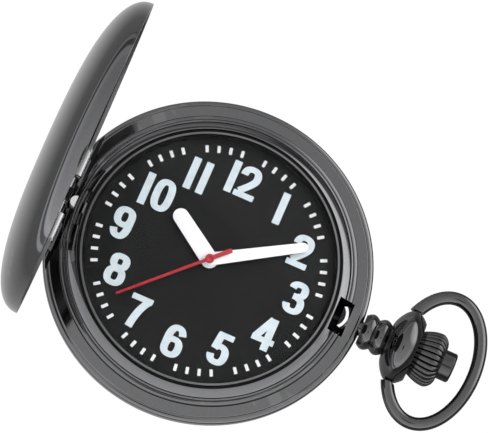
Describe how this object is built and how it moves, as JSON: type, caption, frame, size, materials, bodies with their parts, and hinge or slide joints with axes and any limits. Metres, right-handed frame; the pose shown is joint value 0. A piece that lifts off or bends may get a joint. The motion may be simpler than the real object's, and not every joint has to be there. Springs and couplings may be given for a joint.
{
  "type": "hunter pocket watch",
  "caption": "Hunter pocket watch: sprung domed front cover on a knuckle hinge, fluted crown with release button, oval swinging bow, and a geared quartz-type movement under a domed crystal.",
  "frame": {"origin": "centre of the flat on the case back, where the watch rests", "axes": "+X towards the crown at three o'clock, +Y towards twelve o'clock, +Z along the dial's outward normal"},
  "size_m": [0.0685, 0.0468, 0.0543],
  "materials": {
    "gunmetal": "polished gunmetal plating",
    "steel": "plain steel",
    "brass": "plain brass",
    "black_dial": "matte black",
    "black_rubber": "black rubber",
    "white_enamel": "white paint",
    "red_enamel": "red paint",
    "glass": "clear domed glass",
    "holder_plastic": "moulded plastic",
    "board_green": "coated board",
    "copper_wire": "enamelled winding"
  },
  "bodies": {
    "case": {"case_middle": "gunmetal", "case_back": "gunmetal", "back_gasket": "black_rubber", "bezel": "gunmetal", "crystal": "glass", "crystal_gasket": "black_rubber", "dial_ring": "black_dial", "hinge_pin": "steel", "lift_spring_screw": "steel", "latch_screw": "steel", "pendant": "gunmetal", "dial": "black_dial", "movement_holder": "holder_plastic", "main_plate": "brass", "train_bridge": "brass", "bridge_screw_1": "steel", "bridge_screw_2": "steel", "bridge_screw_3": "steel", "board_screw_1": "steel", "board_screw_2": "steel", "circuit_board": "board_green", "quartz_can": "steel", "control_chip": "black_rubber", "battery_cell": "steel", "battery_clamp": "steel", "clamp_screw_1": "steel", "coil": "copper_wire", "stator": "steel"},
    "cover": {"front_cover": "gunmetal"},
    "lift": {"lift_spring": "steel"},
    "latch": {"latch_spring": "steel"},
    "bow": {"bow": "gunmetal"},
    "clutch": {"clutch_pinion": "steel"},
    "crown": {"crown": "gunmetal", "button_spring": "steel"},
    "button": {"push_button": "gunmetal", "setting_stem": "steel", "stem_collar": "steel"},
    "seconds": {"seconds_wheel": "brass", "second_hand": "red_enamel"},
    "rotor": {"rotor": "steel"},
    "fifth": {"fifth_wheel": "brass"},
    "third": {"third_wheel": "brass"},
    "minutes": {"centre_wheel": "brass", "cannon_pinion": "brass", "minute_hand": "white_enamel"},
    "minute_work": {"minute_wheel": "brass"},
    "hours": {"hour_wheel": "brass", "hour_hand": "white_enamel"}
  },
  "joints": [
    {"name": "cover_hinge", "type": "hinge", "parent": "case", "child": "cover", "pos_m": [-0.02246, 0, 0.00877], "axis": [0, 1, 0], "range_deg": [0, 88.5], "stiffness_Nm_per_rad": 0.003, "springref_deg": -11.46},
    {"name": "lift_flex", "type": "hinge", "parent": "case", "child": "lift", "pos_m": [-0.00955, 0.01797, 0.0058], "axis": [0.4695, -0.8829, 0], "range_deg": [0, 2.5]},
    {"name": "bow_swing", "type": "hinge", "parent": "case", "child": "bow", "pos_m": [0.02987, 0, 0.00625], "axis": [0, 1, 0], "range_deg": [-100, 100]},
    {"name": "crown_turn", "type": "hinge", "parent": "case", "child": "clutch", "pos_m": [0.0095, 0, 0.00625], "axis": [1, 0, 0], "continuous": true},
    {"name": "crown_pull", "type": "slide", "parent": "clutch", "child": "crown", "axis": [1, 0, 0], "range_m": [0, 0.0012]},
    {"name": "button_press", "type": "slide", "parent": "crown", "child": "button", "axis": [-1, 0, 0], "range_m": [0, 0.001], "stiffness_N_per_m": 1000, "springref_m": -0.0005, "deforming": ["button_spring"]},
    {"name": "latch_flex", "type": "hinge", "parent": "case", "child": "latch", "pos_m": [0.01844, -0.0086, 0.006], "axis": [0, 0, 1], "range_deg": [0, 5.5]},
    {"name": "seconds_turn", "type": "hinge", "parent": "case", "child": "seconds", "pos_m": [0, 0, 0.0035], "axis": [0, 0, 1], "continuous": true},
    {"name": "rotor_turn", "type": "hinge", "parent": "case", "child": "rotor", "pos_m": [0.00096, 0.00803, 0.0035], "axis": [0, 0, 1], "continuous": true},
    {"name": "fifth_turn", "type": "hinge", "parent": "case", "child": "fifth", "pos_m": [0, 0.0054, 0.0035], "axis": [0, 0, 1], "continuous": true},
    {"name": "third_turn", "type": "hinge", "parent": "case", "child": "third", "pos_m": [0.00174, -0.00479, 0.0035], "axis": [0, 0, 1], "continuous": true},
    {"name": "minutes_turn", "type": "hinge", "parent": "case", "child": "minutes", "pos_m": [0, 0, 0.0045], "axis": [0, 0, 1], "continuous": true},
    {"name": "minute_work_turn", "type": "hinge", "parent": "case", "child": "minute_work", "pos_m": [0.00368, 0.00309, 0.006], "axis": [0, 0, 1], "continuous": true},
    {"name": "hours_turn", "type": "hinge", "parent": "case", "child": "hours", "pos_m": [0, 0, 0.0065], "axis": [0, 0, 1], "continuous": true}
  ],
  "couplings": [
    {"joint": "lift_flex", "follows": "cover_hinge", "ratio": 0.02711},
    {"joint": "latch_flex", "follows": "button_press", "rad_per_m": 94.2},
    {"joint": "rotor_turn", "follows": "seconds_turn", "ratio": 30},
    {"joint": "fifth_turn", "follows": "seconds_turn", "ratio": -5},
    {"joint": "third_turn", "follows": "seconds_turn", "ratio": -0.13333},
    {"joint": "minutes_turn", "follows": "seconds_turn", "ratio": 0.016667},
    {"joint": "minute_work_turn", "follows": "seconds_turn", "ratio": -0.0055556},
    {"joint": "hours_turn", "follows": "seconds_turn", "ratio": 0.0013889}
  ]
}
